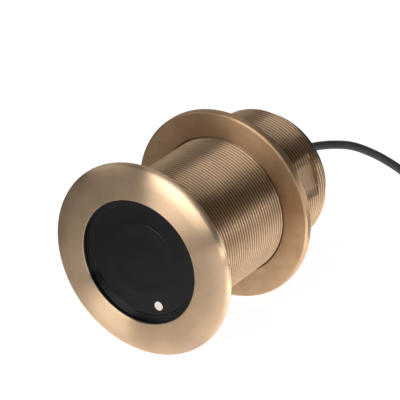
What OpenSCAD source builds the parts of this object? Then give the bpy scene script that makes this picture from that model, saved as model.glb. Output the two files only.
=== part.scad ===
// Bronze through-hull sonar transducer with its hull nut and cable.
// It lies on its side: +Y runs along the stem towards the cable, the sounding face looks along -Y
// and +Z is up. The origin is on the stem's axis, in the plane of the flange's back face, which seats
// on the hull.

/* [Flange] */
// Diameter of the flange over its rounded rim
flange_d = 106; // [98:0.5:120]
// Height of the face lip in front of the hull seat
lip_height = 7.5; // [7:0.1:10]
// Radius of the rounded rim
rim_round = 3; // [2:0.1:3.4]
// Width of the crown's rounding from the rim inwards to the flat land
crown_width = 9.7; // [8:0.1:14]

/* [Stem] */
// Major diameter of the stem's thread
stem_d = 76.2; // [74:0.1:84]
// Length of the threaded stem behind the hull seat
thread_length = 115.5; // [100:0.5:136]
// Distance from one crest of the thread to the next
thread_pitch = 2.117; // [1.5:0.001:3.2]
// Depth of the thread from its crests to its roots
thread_depth = 1.3; // [0.8:0.1:1.5]
// Chamfer of the stem's rear end, where the nut is started
lead_in = 1.6; // [1.4:0.1:2.6]
// Depth of a wrench flat below the thread's crests
flat_depth = 1.8; // [1.1:0.1:2.6]
// Length of a wrench flat along the stem
flat_length = 21.2; // [10:0.1:26]
// Distance of a wrench flat from the stem's rear end
flat_set_back = 7.7; // [5:0.1:20]
// Angle of the first wrench flat above the horizontal
flat_angle = 20; // [0:1:90]
// Number of wrench flats round the stem
flat_count = 2; // [1:1:4]
// Wall of the stem between its bore and the thread's crests
stem_wall = 5.6; // [4.6:0.1:7]

/* [Hull nut] */
// Diameter of the nut's round flange, as wide as the housing's so that the part lies level on both
nut_flange_d = flange_d;
// Thickness of the nut's flange
nut_flange_t = 5; // [3:0.1:9]
// Height of the whole nut
nut_height = 14; // [11:0.5:24]
// Wall of the nut between its bore and the flats of its hexagon
hub_wall = 4.1; // [3.1:0.1:6]
// Angle of one corner of the hexagon above the horizontal
hub_angle = 22; // [0:1:60]
// Distance from the hull seat to the nut's front face
nut_place = 70.2; // [20:0.1:74]
// Gap between the nut's bore and the stem
nut_clearance = 0.3; // [0.2:0.05:0.5]
// Chamfer on the edges of the nut's flange
nut_chamfer = 0.9; // [0.4:0.1:1.4]

/* [Sounding face] */
// Width of the step from the bore out to the edge of the sounding face
face_rebate = 1.8; // [1.2:0.1:3]
// Depth of the seat that the face is moulded into
face_seat = 5.5; // [4.8:0.1:6.5]
// Set-back of the moulding's edge from the lip
face_set_back = 0.3; // [0.1:0.05:0.8]
// Thickness of the moulding's wall at its edge
face_wall = 0.7; // [0.4:0.05:1]
// Width of each of the two ledges round the face
ledge_width = 1.3; // [0.8:0.1:2]
// Depth of the upper ledge below the lip
ledge_depth = 2.6; // [1.5:0.1:3]
// Height of each step below the upper ledge
ledge_step = 0.8; // [0.4:0.05:1]
// Thickness of the face at its middle
face_t = 4.8; // [4.6:0.1:6]
// Depth of the round dish over the element
dish_depth = 0.3; // [0.1:0.05:0.6]

/* [Temperature sensor] */
// Diameter of the button's head
button_d = 5; // [4:0.1:6]
// Diameter of the button's shank
shank_d = 3; // [2:0.1:3.5]
// Distance of the button's middle from the lower ledge
button_inset = 5.1; // [4:0.1:6.2]
// Angle of the button below the horizontal
button_angle = 68; // [40:1:90]
// Height of the button's head above the face
button_proud = 0.3; // [0.1:0.05:0.6]
// Length of the shank behind the face
shank_length = 6; // [4:0.5:8]
// Length of the thermistor bead
bead_length = 4; // [2:0.5:5]

/* [Element stack] */
// Diameter of the ceramic disc
element_d = 40; // [36:0.5:42]
// Thickness of the ceramic disc
element_t = 9; // [6:0.5:12]
// Thickness of the matching layer
matching_t = 3.5; // [2:0.1:5]
// Thickness of the backing block
backing_t = 16; // [10:0.5:20]
// Wall of the element cup
cup_wall = 2; // [1.5:0.1:2.6]
// Thickness of the element cup's base
cup_base = 2.5; // [1.5:0.1:4]
// Length of the posts that carry the circuit board
post_length = 10; // [6:0.5:14]
// Diameter of those posts
post_d = 5; // [4:0.1:6]
// Distance of the posts' middles from the board's edge
post_inset = 5; // [4:0.1:6]
// Diameter of one element lead
lead_d = 1; // [0.8:0.1:1.4]
// Distance between the two element leads
lead_spacing = 12; // [8:0.5:16]
// Diameter of one thermistor lead
fine_lead_d = 0.7; // [0.5:0.05:0.8]

/* [Circuit board] */
// Gap between the board's edge and the bore
board_gap = 4.5; // [2.5:0.1:5.5]
// Thickness of the board
board_t = 1.6; // [1:0.1:2.4]
// Diameter of the transformer's core
core_d = 18; // [14:0.5:20]
// Height of the transformer's core
core_height = 14; // [10:0.5:20]
// Thickness of the core's end flanges
core_flange = 2; // [1.5:0.1:3]
// Diameter of the core's middle post
core_post_d = 7; // [5:0.5:8]
// Set-back of the winding from the core's edge
winding_set_back = 0.8; // [0.4:0.1:1.5]
// Distance of the transformer from the axis
core_place = 14; // [13:0.5:16]
// Width, depth and height of the identification chip
chip_size = [6, 5, 1.8];
// Distance of the chip from the axis
chip_place = 14; // [10:0.5:18]

/* [Rear end] */
// Set-in of the rear cap's rim from the stem's chamfered edge
cap_set_in = 1.7; // [0.4:0.1:2.4]
// Height of the rear cap's rim behind the housing
cap_t = 4.5; // [3:0.1:7]
// Length of the rear cap's spigot in the bore
cap_spigot = 3.5; // [3:0.5:7]
// Rounding of the rear cap's rim
cap_round = 0.8; // [0.3:0.1:1]
// Diameter of the strain relief where it leaves the cap
boot_d = 10; // [9:0.1:13]
// Diameter of the strain relief at its tip
boot_tip_d = 6.8; // [6:0.1:8]
// Length of the strain relief behind the cap
boot_length = 26; // [22:0.5:26]
// Diameter of the strain relief's foot inside the cap
boot_foot_d = 16; // [14:0.5:20]
// Length of that foot
boot_foot = 4; // [3:0.5:6]
// Number of grooves round the strain relief
boot_grooves = 4; // [2:1:5]
// Width of one groove
boot_groove = 1.6; // [1:0.1:2]
// Depth of one groove
boot_groove_depth = 0.5; // [0.3:0.05:0.6]

/* [Cable] */
// Diameter of the cable
cable_d = 4.8; // [4.4:0.1:5]
// Gap between the cable and what it passes through
cable_clearance = 0.15; // [0.1:0.05:0.3]
// Length of jacketed cable inside the strain relief and the potting
cable_inside = 20; // [16:0.5:24]
// Number of cores in the cable
core_count = 4; // [2:1:5]
// Diameter of one insulated core
wire_d = 1.5; // [1:0.1:1.6]
// Distance of the cores from the cable's axis
wire_radius = 1.4; // [1.2:0.1:1.5]
// Turns of the coil beside each other
coil_rows = 6; // [4:1:7]
// Turns of the coil on top of each other
coil_layers = 6; // [4:1:7]
// Distance between neighbouring turns
turn_pitch = 5; // [4.8:0.1:5.4]
// Radius of the coil at the middle of its turns
coil_radius = 42; // [36:0.5:46]
// Width of the ties round the coil
tie_width = 8; // [4:0.5:14]
// Thickness of the ties
tie_t = 1.2; // [0.8:0.1:1.5]

/* [Plug] */
// Diameter of the plug's grip
plug_d = 17; // [14:0.5:20]
// Length of the plug's grip
plug_length = 22; // [18:0.5:30]
// Diameter of the plug's nose
nose_d = 14; // [12:0.5:16]
// Length of the plug's nose
nose_length = 18; // [12:0.5:22]
// Wall of the plug's nose
nose_wall = 1.4; // [1:0.1:2]
// Set-back of the insert from the nose's edge
insert_set_back = 0.4; // [0.2:0.1:1]
// Length of the taper behind the grip
plug_boot = 9; // [6:0.5:10]
// Number of contacts
contact_count = 5; // [3:1:6]
// Outer diameter of one contact
contact_d = 2; // [1.6:0.1:2.2]
// Bore of one contact
contact_bore = 1.2; // [0.8:0.1:1.4]
// Diameter of the ring of contacts
contact_circle = 7; // [6:0.1:8]
// Number of grip ribs
rib_count = 5; // [3:1:6]
// Width of one grip groove
rib_groove = 1.6; // [1:0.1:2]
// Depth of one grip groove
rib_depth = 0.8; // [0.4:0.1:1]

/* [Hidden] */
$fn = 96;
// Overlap of cutting shapes past the faces that they cut
cut = 1;
// Length that takes a cutting shape right through the part
far = 400;

// Radii and places along the stem's axis, counted from the hull seat towards the cable
flange_r = flange_d / 2;
stem_r = stem_d / 2;
bore_r = stem_r - stem_wall;
bore_d = 2 * bore_r;
face_r = bore_r + face_rebate;
end_r = stem_r - lead_in;
flat_distance = stem_r - flat_depth;
flat_front = thread_length - flat_set_back - flat_length;
part_end = thread_length + cap_t;
floor_z = -flange_r;

// The thread's grooves: place of the first one, number, and widths of crest and root as shares of the pitch
thread_start = 3;
groove_count = floor((thread_length - thread_start) / thread_pitch + 0.5);
crest_share = 0.14;
root_share = 0.19;

// The crown is an arc that starts level at the lip's land and runs tangent into the rim's rounding
land_r = flange_r - crown_width;
rim_centre_r = flange_r - rim_round;
crown_run = rim_centre_r - land_r;
crown_drop = lip_height - rim_round;
crown_r = (crown_run^2 + crown_drop^2 - rim_round^2) / (2 * (crown_drop - rim_round));
crown_centre = crown_r - lip_height;
rim_turn = atan2(crown_run, crown_centre + rim_round);
tangent_r = rim_centre_r + rim_round * sin(rim_turn);

// The face's ledges step down from the lip towards its middle
face_edge = face_set_back - lip_height;
ledge_1 = ledge_depth - lip_height;
ledge_2 = ledge_1 + ledge_step;
face_front = ledge_2 + ledge_step;
face_back = face_front + face_t;
seat_end = face_seat - lip_height;
wall_r = face_r - face_wall;
ledge_1_r = wall_r - ledge_width;
ledge_2_r = ledge_1_r - ledge_width;
element_r = element_d / 2;
button_radius = ledge_2_r - button_inset;

// The element stack follows behind the face
element_front = face_back + matching_t;
element_back = element_front + element_t;
backing_back = element_back + backing_t;
cup_back = backing_back + cup_base;
cup_inner_r = bore_r - cup_wall;
board_r = bore_r - board_gap;
post_r = board_r - post_inset;
board_front = cup_back + post_length;
board_back = board_front + board_t;
bead_front = face_back + shank_length;
bead_back = bead_front + bead_length;
sensor_clearance = 0.2;
sensor_hole_d = shank_d + 2 * sensor_clearance;
bead_d = shank_d - 2 * sensor_clearance;
fine_lead_offset = bead_d / 4;
post_count = 3;

// The rear end closes the bore behind the potting
potting_end = thread_length - cap_spigot;
boot_front = potting_end - boot_foot;
boot_end = part_end + boot_length;
cable_start = boot_front - cable_inside;
cable_hole_d = cable_d + 2 * cable_clearance;

// The nut's bore, its hexagon from the axis to a flat and to a corner, and the angle of the turned corners
nut_bore_r = stem_r + nut_clearance;
hub_r = nut_bore_r + hub_wall;
hub_corner_r = hub_r / cos(30);
hub_turn_off = 30;
nut_flange_r = nut_flange_d / 2;

// The coil lies on its ties, and its turns lie inside one another and on top of one another
coil_base = floor_z + tie_t;
coil_inner_r = coil_radius - coil_rows * turn_pitch / 2;
coil_outer_r = coil_radius + coil_rows * turn_pitch / 2;
coil_height = coil_layers * turn_pitch;
coil_edge = 2;
outer_turn_r = coil_outer_r - turn_pitch / 2;
low_turn = coil_base + cable_d / 2;
top_turn = low_turn + (coil_layers - 1) * turn_pitch;
// Place where the cable runs into the coil and leaves it again, and the middle of the coil
coil_side = 138;
coil_behind = 54.5;
coil_join = [coil_side, boot_end + coil_behind];
coil_centre = coil_join - [0, outer_turn_r];
tie_angles = [150, 330];

// The plug lies on the coil, across the middle of its turns
plug_shift = 10;
plug_lift = coil_height + plug_d / 2;
plug_rear = [coil_centre[0] + plug_shift, coil_centre[1] - coil_radius, coil_base + plug_lift];
plug_hole_depth = 8;
nose_r = nose_d / 2;
insert_r = nose_r - nose_wall;
contact_r = contact_circle / 2;

// Points of the cable's way to the coil: sideways, behind the strain relief's tip, and percent of the drop
cable_way = [[0, -46, 0], [0, -34, 0], [0, -22, 0], [0, -10, 0], [0, 1, 0], [2, 9, 0], [6, 17, 1],
             [11, 24, 3], [17, 31, 7], [25, 37, 15], [34, 42, 26], [44, 46, 40], [55, 49, 56],
             [66, 51, 70], [77, 52.5, 82], [88, 53.5, 91], [99, 54, 97], [110, 54.5, 99],
             [122, 54.5, 100], [138, 54.5, 100]];
cable_route = [for (p = cable_way) [p[0], boot_end + p[1], p[2] / 100 * low_turn]];
// Points of its way from the coil's top turn to the plug: two distances from the coil's middle, drawn
// for a coil of way_radius, and percent of the way up
tail_way = [[12, 53, 13], [24, 48.5, 32], [34, 41, 50], [42, 31, 67], [47, 19, 79], [49, 7, 90],
            [49, -5, 97], [48, -16, 100], [44, -26.5, 100], [36.5, -35.5, 100], [26.5, -41, 100],
            [19, -42, 100]];
way_radius = 42;
tail_start = [coil_join[0], coil_join[1], top_turn];
tail_end = plug_rear - [plug_hole_depth, 0, 0];
tail_route = concat([tail_start], [for (p = tail_way) tail_point(p)], [tail_end]);
cable_sides = 12;

bronze = "#b08d5c";
face_black = "#1c1b1e";
cable_black = "#222222";

// Turns a shape that was drawn along +Z so that it lies along the stem, +Y
module along_stem() {
    rotate([-90, 0, 0]) children();
}

// A round bar from one place along the axis to another
module bar(d, from, to) {
    translate([0, 0, from]) cylinder(d = d, h = to - from);
}

// Moves a shape to a distance from the axis, at an angle above the horizontal of the lying part
module at_polar(radius, angle) {
    rotate([0, 0, -angle]) translate([radius, 0, 0]) children();
}

// Half section of the flange: crown, rounded rim and the flat back that seats on the hull
module flange_section() {
    intersection() {
        translate([land_r, crown_centre]) circle(r = crown_r, $fn = 360);
        translate([land_r, -lip_height]) square([tangent_r - land_r, crown_drop]);
    }
    translate([0, -lip_height]) square([land_r, crown_drop]);
    translate([rim_centre_r, -rim_round]) circle(r = rim_round);
    translate([0, -rim_round]) square([rim_centre_r, rim_round]);
}

// Half sections of the thread's grooves, one behind the other
module groove_sections() {
    mouth = (1 - crest_share) * thread_pitch / 2;
    root = root_share * thread_pitch / 2;
    for (i = [0 : groove_count - 1])
        translate([stem_r, thread_start + i * thread_pitch])
            polygon([[0, -mouth], [-thread_depth, -root], [-thread_depth, root], [0, mouth],
                     [cut, mouth], [cut, -mouth]]);
}

// Half section of the stem with its thread and its chamfered rear end
module stem_section() {
    difference() {
        polygon([[0, -rim_round], [stem_r, -rim_round], [stem_r, thread_length - lead_in],
                 [end_r, thread_length], [0, thread_length]]);
        groove_sections();
    }
}

// One cast and turned bronze piece: flange, threaded stem and wrench flats
module bronze_housing() {
    color(bronze) along_stem() difference() {
        rotate_extrude() {
            flange_section();
            stem_section();
        }
        bar(bore_d, -far, far);
        bar(2 * face_r, -far, seat_end);
        for (i = [0 : flat_count - 1])
            rotate([0, 0, -flat_angle - i * 360 / flat_count])
                translate([flat_distance, -stem_r, flat_front])
                    cube([stem_r, stem_d, flat_length]);
    }
}

// Half section of the nut's round flange with its chamfered edges
module nut_flange_section() {
    polygon([[0, 0], [nut_flange_r - nut_chamfer, 0], [nut_flange_r, nut_chamfer],
             [nut_flange_r, nut_flange_t - nut_chamfer], [nut_flange_r - nut_chamfer, nut_flange_t],
             [0, nut_flange_t]]);
}

// Hexagon of the nut, with the corners of its rear face turned off
module nut_hexagon() {
    outside = hub_corner_r + cut;
    corner_off = (outside - hub_r) * tan(hub_turn_off);
    intersection() {
        cylinder(r = hub_corner_r, h = nut_height, $fn = 6);
        rotate_extrude() polygon([[0, 0], [outside, 0], [outside, nut_height - corner_off],
                                  [hub_r, nut_height], [0, nut_height]]);
    }
}

// Flanged hexagon nut that clamps the hull against the flange
module hull_nut() {
    color(bronze) along_stem() translate([0, 0, nut_place]) difference() {
        union() {
            rotate_extrude() nut_flange_section();
            rotate([0, 0, -hub_angle]) nut_hexagon();
        }
        bar(2 * nut_bore_r, -far, far);
    }
}

// Black moulding that fills the lip, with two ledges round its edge and a shallow dish over the element
module acoustic_window() {
    color(face_black) along_stem() difference() {
        rotate_extrude() polygon([[0, face_front + dish_depth], [element_r, face_front + dish_depth],
                                  [element_r, face_front], [ledge_2_r, face_front], [ledge_2_r, ledge_2],
                                  [ledge_1_r, ledge_2], [ledge_1_r, ledge_1], [wall_r, ledge_1],
                                  [wall_r, face_edge], [face_r, face_edge], [face_r, seat_end],
                                  [bore_r, seat_end], [bore_r, face_back], [0, face_back]]);
        sensor_place() button_shape();
    }
}

// Place of the temperature sensor on the face
module sensor_place() {
    at_polar(button_radius, -button_angle) children();
}

// Headed button, from its face to the end of its shank
module button_shape() {
    bar(button_d, face_front - button_proud, face_front + face_t / 2);
    bar(shank_d, face_front, bead_front);
}

// Copper alloy button that brings the water's temperature to the bead behind it
module temperature_button() {
    color("#d9a27c") along_stem() sensor_place() button_shape();
}

// Thermistor bead behind the button
module thermistor() {
    color("#2f2a26") along_stem() sensor_place() bar(bead_d, bead_front, bead_back);
}

// Two fine leads from the bead to the circuit board
module thermistor_leads() {
    color("#c9c4b8") along_stem() sensor_place()
        for (side = [-1, 1])
            translate([0, side * fine_lead_offset, 0]) bar(fine_lead_d, bead_back, board_front);
}

// Straight hole through the stack for the sensor's shank, bead and leads
module sensor_hole(from, to) {
    sensor_place() bar(sensor_hole_d, from, to);
}

// Straight holes for the two element leads
module lead_bars(d, from, to) {
    for (side = [-1, 1])
        translate([side * lead_spacing / 2, 0, 0]) bar(d, from, to);
}

// Layer that matches the ceramic to the face
module matching_layer() {
    color("#8f8a7a") along_stem() bar(element_d, face_back, element_front);
}

// Piezoelectric disc
module ceramic_element() {
    color("#d8d2c0") along_stem() bar(element_d, element_front, element_back);
}

// Cork ring that keeps the disc's edge free
module isolation_ring() {
    color("#a97b4f") along_stem() difference() {
        bar(2 * cup_inner_r, face_back, element_back);
        bar(element_d, face_back - cut, element_back + cut);
        sensor_hole(face_back - cut, element_back + cut);
    }
}

// Foam block behind the disc
module backing_block() {
    color("#9c9a92") along_stem() difference() {
        bar(2 * cup_inner_r, element_back, backing_back);
        lead_bars(lead_d, element_back - cut, backing_back + cut);
        sensor_hole(element_back - cut, backing_back + cut);
    }
}

// Cup that holds the stack against the face and carries the board on three posts
module element_cup() {
    color("#3a3d42") along_stem() difference() {
        union() {
            bar(bore_d, face_back, cup_back);
            for (i = [0 : post_count - 1])
                rotate([0, 0, i * 360 / post_count])
                    translate([post_r, 0, 0]) bar(post_d, backing_back, board_front);
        }
        bar(2 * cup_inner_r, face_back - cut, backing_back);
        lead_bars(lead_d, backing_back - cut, cup_back + cut);
        sensor_hole(backing_back - cut, cup_back + cut);
    }
}

// Two leads from the disc to the board
module element_leads() {
    color("#b5462f") along_stem() lead_bars(lead_d, element_back, board_front);
}

// Round board behind the cup
module circuit_board() {
    color("#2e6b45") along_stem() bar(2 * board_r, board_front, board_back);
}

// Place of the transformer on the board
module core_position() {
    translate([core_place, 0, board_back]) children();
}

// Ferrite drum of the tuning transformer
module transformer_core() {
    color("#4a4a4d") along_stem() core_position() {
        bar(core_d, 0, core_flange);
        bar(core_post_d, 0, core_height);
        bar(core_d, core_height - core_flange, core_height);
    }
}

// Copper winding between the drum's flanges
module transformer_winding() {
    color("#b06a35") along_stem() core_position() difference() {
        bar(core_d - 2 * winding_set_back, core_flange, core_height - core_flange);
        bar(core_post_d, 0, core_height);
    }
}

// Chip that tells the display which transducer it is
module identity_chip() {
    color("#26262a") along_stem()
        translate([-chip_place - chip_size[0] / 2, -chip_size[1] / 2, board_back]) cube(chip_size);
}

// Insulated cores from the board to the cable's jacket
module cable_cores() {
    color("#d0d0d0") along_stem()
        for (i = [0 : core_count - 1])
            at_polar(wire_radius, i * 360 / core_count) bar(wire_d, board_back, cable_start);
}

// Strain relief: a foot held behind the cap, then a grooved taper
module boot_section() {
    groove_pitch = boot_length / (boot_grooves + 1);
    difference() {
        polygon([[0, boot_front], [boot_foot_d / 2, boot_front], [boot_foot_d / 2, potting_end],
                 [boot_d / 2, potting_end], [boot_d / 2, part_end], [boot_tip_d / 2, boot_end],
                 [0, boot_end]]);
        for (i = [1 : boot_grooves])
            let (middle = part_end + i * groove_pitch,
                 outside = (boot_d + (boot_tip_d - boot_d) * i / (boot_grooves + 1)) / 2)
                translate([outside - boot_groove_depth, middle - boot_groove / 2])
                    square([boot_d, boot_groove]);
    }
}

// Potting that fills the bore behind the element cup, round everything that it holds
module potting_compound() {
    color("#2b2724") difference() {
        along_stem() bar(bore_d, cup_back, potting_end);
        element_cup();
        element_leads();
        thermistor_leads();
        circuit_board();
        transformer_core();
        transformer_winding();
        identity_chip();
        cable_cores();
        along_stem() rotate_extrude() boot_section();
        along_stem() bar(cable_hole_d, cable_start, potting_end + cut);
    }
}

// Half section of the rear cap: a spigot in the bore and a rounded rim over the housing's end
module cap_section() {
    cap_r = end_r - cap_set_in;
    translate([0, potting_end]) square([bore_r, cap_spigot + cap_t / 2]);
    translate([0, thread_length]) square([cap_r, cap_t - cap_round]);
    translate([0, thread_length]) square([cap_r - cap_round, cap_t]);
    translate([cap_r - cap_round, part_end - cap_round]) circle(r = cap_round);
}

// Black cap that closes the bore
module rear_cap() {
    color(face_black) along_stem() difference() {
        rotate_extrude() cap_section();
        bar(boot_d, -far, far);
    }
}

// Strain relief with the bore that the cable passes through
module cable_boot() {
    color(cable_black) along_stem() difference() {
        rotate_extrude() boot_section();
        bar(cable_hole_d, -far, far);
    }
}

// Point of the tail's route for one point of its way
function tail_point(p) =
    let (plan = coil_centre + [p[0], p[1]] * coil_radius / way_radius)
        [plan[0], plan[1], top_turn + p[2] / 100 * (plug_rear[2] - top_turn)];

// A vector of length one along v
function unit(v) = v / norm(v);

// Direction of a route at its point i, from the points on either side
function heading(route, i) = unit(route[min(i + 1, len(route) - 1)] - route[max(i - 1, 0)]);

// Level direction across a route at its point i
function across(route, i) = unit(cross(heading(route, i), [0, 0, 1]));

// Ring of points round a route at its point i
function ring(route, i, radius) =
    let (side = across(route, i), up = cross(side, heading(route, i)))
        [for (k = [0 : cable_sides - 1])
            route[i] + radius * (cos(k * 360 / cable_sides) * side + sin(k * 360 / cable_sides) * up)];

// Closed tube swept along the points of a route
module swept_tube(route, radius) {
    last = len(route) - 1;
    points = [for (i = [0 : last]) each ring(route, i, radius)];
    walls = [for (i = [0 : last - 1], k = [0 : cable_sides - 1])
        let (next = (k + 1) % cable_sides, a = i * cable_sides, b = a + cable_sides)
            [a + k, b + k, b + next, a + next]];
    near_end = [for (k = [0 : cable_sides - 1]) k];
    far_end = [for (k = [cable_sides - 1 : -1 : 0]) last * cable_sides + k];
    polyhedron(points, concat(walls, [near_end, far_end]));
}

// Cable from inside the strain relief to the coil
module cable() {
    color(cable_black) swept_tube(concat([[0, cable_start, 0]], cable_route), cable_d / 2);
}

// Cable from the top of the coil into the plug
module cable_tail() {
    color(cable_black) swept_tube(tail_route, cable_d / 2);
}

// Section of the bundle of turns, grown on all sides by the same amount
module bundle_section(grow) {
    inner = coil_inner_r - grow;
    outer = coil_outer_r + grow;
    low = -grow;
    high = coil_height + grow;
    polygon([[inner + coil_edge, low], [outer - coil_edge, low], [outer, low + coil_edge],
             [outer, high - coil_edge], [outer - coil_edge, high], [inner + coil_edge, high],
             [inner, high - coil_edge], [inner, low + coil_edge]]);
}

// Moves a shape to the middle of the coil's base
module coil_place() {
    translate([coil_centre[0], coil_centre[1], coil_base]) children();
}

// Outer shape of the wound cable
module cable_coil() {
    color(cable_black) coil_place() rotate_extrude() bundle_section(0);
}

// Two ties round the bundle
module coil_ties() {
    color("#3c3c3f") coil_place()
        for (angle = tie_angles)
            intersection() {
                rotate_extrude() difference() {
                    bundle_section(tie_t);
                    bundle_section(0);
                }
                rotate([0, 0, angle]) translate([0, -tie_width / 2, -far / 2]) cube([far, tie_width, far]);
            }
}

// Turns a shape that was drawn along +Z so that it lies along the plug, -X
module along_plug() {
    translate(plug_rear) rotate([0, -90, 0]) children();
}

// Moulded grip with its taper round the cable, and the nose that carries the contacts
module plug_body() {
    groove_pitch = plug_length / (rib_count + 1);
    color(cable_black) along_plug() difference() {
        union() {
            translate([0, 0, -plug_boot]) cylinder(d1 = boot_tip_d, d2 = nose_d, h = plug_boot);
            bar(plug_d, 0, plug_length);
            bar(nose_d, 0, plug_length + nose_length);
        }
        bar(cable_hole_d, -far, plug_hole_depth);
        bar(2 * insert_r, plug_length, far);
        for (i = [1 : rib_count])
            translate([0, 0, i * groove_pitch - rib_groove / 2]) difference() {
                cylinder(d = plug_d + cut, h = rib_groove);
                cylinder(d = plug_d - 2 * rib_depth, h = rib_groove);
            }
    }
}

// Places of the contacts in the nose
module contact_places() {
    for (i = [0 : contact_count - 1])
        rotate([0, 0, i * 360 / contact_count]) translate([contact_r, 0, 0]) children();
}

// Insert that holds the contacts
module plug_insert() {
    color("#55565a") along_plug() difference() {
        bar(2 * insert_r, plug_length, plug_length + nose_length - insert_set_back);
        contact_places() bar(contact_d, plug_length - cut, far);
    }
}

// Tubular contacts
module plug_contacts() {
    color("#c8a24a") along_plug() contact_places() difference() {
        bar(contact_d, plug_length, plug_length + nose_length - insert_set_back);
        bar(contact_bore, plug_length + nose_length / 2, far);
    }
}

bronze_housing();
hull_nut();
acoustic_window();
temperature_button();
thermistor();
thermistor_leads();
matching_layer();
ceramic_element();
isolation_ring();
backing_block();
element_cup();
element_leads();
circuit_board();
transformer_core();
transformer_winding();
identity_chip();
potting_compound();
cable_cores();
rear_cap();
cable_boot();
cable();
cable_coil();
coil_ties();
cable_tail();
plug_body();
plug_insert();
plug_contacts();
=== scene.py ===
"""Looks of a bronze through-hull sonar transducer, laid out as a Blender add-on.

Lengths are metres in the part's own frame: the stem runs along +Y towards the cable, the sounding face
looks along -Y, and the part lies on the floor on its flange, its hull nut and its coil of cable.
"""

import math

import bpy
import numpy as np
from mathutils import Matrix, Vector


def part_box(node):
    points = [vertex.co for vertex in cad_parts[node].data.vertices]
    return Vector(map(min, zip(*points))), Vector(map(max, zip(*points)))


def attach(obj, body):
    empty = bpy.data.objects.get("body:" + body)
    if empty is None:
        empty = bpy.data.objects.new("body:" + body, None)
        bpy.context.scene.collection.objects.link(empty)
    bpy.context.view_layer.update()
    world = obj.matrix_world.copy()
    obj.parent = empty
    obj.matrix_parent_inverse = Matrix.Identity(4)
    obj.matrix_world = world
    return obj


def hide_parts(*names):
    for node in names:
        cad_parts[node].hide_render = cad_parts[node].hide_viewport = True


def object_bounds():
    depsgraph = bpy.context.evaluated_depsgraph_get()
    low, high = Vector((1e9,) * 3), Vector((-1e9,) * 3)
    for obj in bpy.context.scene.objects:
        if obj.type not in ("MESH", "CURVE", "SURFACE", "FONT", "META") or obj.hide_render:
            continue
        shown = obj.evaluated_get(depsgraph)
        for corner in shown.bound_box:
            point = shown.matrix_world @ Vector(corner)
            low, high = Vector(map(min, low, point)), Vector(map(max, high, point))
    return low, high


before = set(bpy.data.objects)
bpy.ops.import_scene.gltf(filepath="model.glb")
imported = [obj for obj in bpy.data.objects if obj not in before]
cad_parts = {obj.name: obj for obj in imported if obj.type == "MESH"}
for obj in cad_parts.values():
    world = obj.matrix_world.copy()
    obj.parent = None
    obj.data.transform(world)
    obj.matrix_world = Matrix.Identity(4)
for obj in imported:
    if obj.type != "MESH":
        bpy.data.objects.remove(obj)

bl_info = {
    "name": "Sonar Transducer",
    "version": (1, 0, 0),
    "blender": (4, 5, 0),
    "location": "3D View > Sidebar > Transducer",
    "description": "Builds the looks of a bronze through-hull sonar transducer round its CAD solids",
    "category": "Object",
}

CAD_BOX = [list(corner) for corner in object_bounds()]
HOUSING_LOW, HOUSING_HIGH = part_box("bronze_housing")
NUT_LOW, NUT_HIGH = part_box("hull_nut")
FLOOR_Z = CAD_BOX[0][2]
MM = 0.001
INCH = 0.0254
THREADS_PER_INCH = 12
# Width and height of the picture that the camera is set up for, in pixels
IMAGE_SIZE = 400
# Faces that meet at less than this angle are shaded as one smooth surface
SMOOTH_ANGLE = math.radians(38)


# Settings that a user would change

class BronzeSettings(bpy.types.PropertyGroup):
    """Sizes and colours of the bronze housing and its hull nut."""

    flange_radius: bpy.props.FloatProperty(
        name="Flange radius", description="Radius of the flange over its rounded rim",
        default=HOUSING_HIGH[0], min=0.045, max=0.06, unit="LENGTH")
    lip_height: bpy.props.FloatProperty(
        name="Lip height", description="Height of the face lip in front of the hull seat",
        default=-HOUSING_LOW[1], min=0.006, max=0.01, unit="LENGTH")
    housing_length: bpy.props.FloatProperty(
        name="Stem length", description="Distance from the hull seat to the housing's rear end",
        default=HOUSING_HIGH[1], min=0.1, max=0.15, unit="LENGTH")
    stem_radius: bpy.props.FloatProperty(
        name="Stem radius", description="Radius over the crests of the stem's thread",
        default=0.0381, min=0.037, max=0.042, unit="LENGTH")
    thread_pitch: bpy.props.FloatProperty(
        name="Thread pitch", description="Distance from one crest of the thread to the next",
        default=INCH / THREADS_PER_INCH, min=0.001, max=0.004, unit="LENGTH")
    thread_depth: bpy.props.FloatProperty(
        name="Thread depth", description="Depth of the thread from crest to root",
        default=0.0013, min=0.0005, max=0.002, unit="LENGTH")
    light_bronze: bpy.props.FloatVectorProperty(
        name="Light bronze", description="Colour of the clean turned metal", subtype="COLOR",
        size=4, default=(0.77, 0.54, 0.345, 1.0), min=0.0, max=1.0)
    dark_bronze: bpy.props.FloatVectorProperty(
        name="Dark bronze", description="Colour of the cloudy patches in the metal", subtype="COLOR",
        size=4, default=(0.63, 0.455, 0.305, 1.0), min=0.0, max=1.0)
    # The nut's two colours are darker than the housing's: partly the nut's own browner bronze, partly painted
    # shade for the flange and stem that shadow its face
    nut_bronze: bpy.props.FloatVectorProperty(
        name="Nut bronze", description="Colour of the nut's metal, browner than the housing's",
        subtype="COLOR", size=4, default=(0.58, 0.385, 0.23, 1.0), min=0.0, max=1.0)
    nut_dark: bpy.props.FloatVectorProperty(
        name="Nut dark", description="Colour of the cloudy patches on the nut", subtype="COLOR",
        size=4, default=(0.42, 0.265, 0.145, 1.0), min=0.0, max=1.0)


class FaceSettings(bpy.types.PropertyGroup):
    """Colours of the sounding face and its temperature button."""

    face_black: bpy.props.FloatVectorProperty(
        name="Face black", description="Colour of the moulded sounding face", subtype="COLOR",
        size=4, default=(0.003, 0.0028, 0.0036, 1.0), min=0.0, max=1.0)
    button_copper: bpy.props.FloatVectorProperty(
        name="Button copper", description="Colour of the temperature button", subtype="COLOR",
        size=4, default=(1.0, 0.83, 0.72, 1.0), min=0.0, max=1.0)


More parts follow.
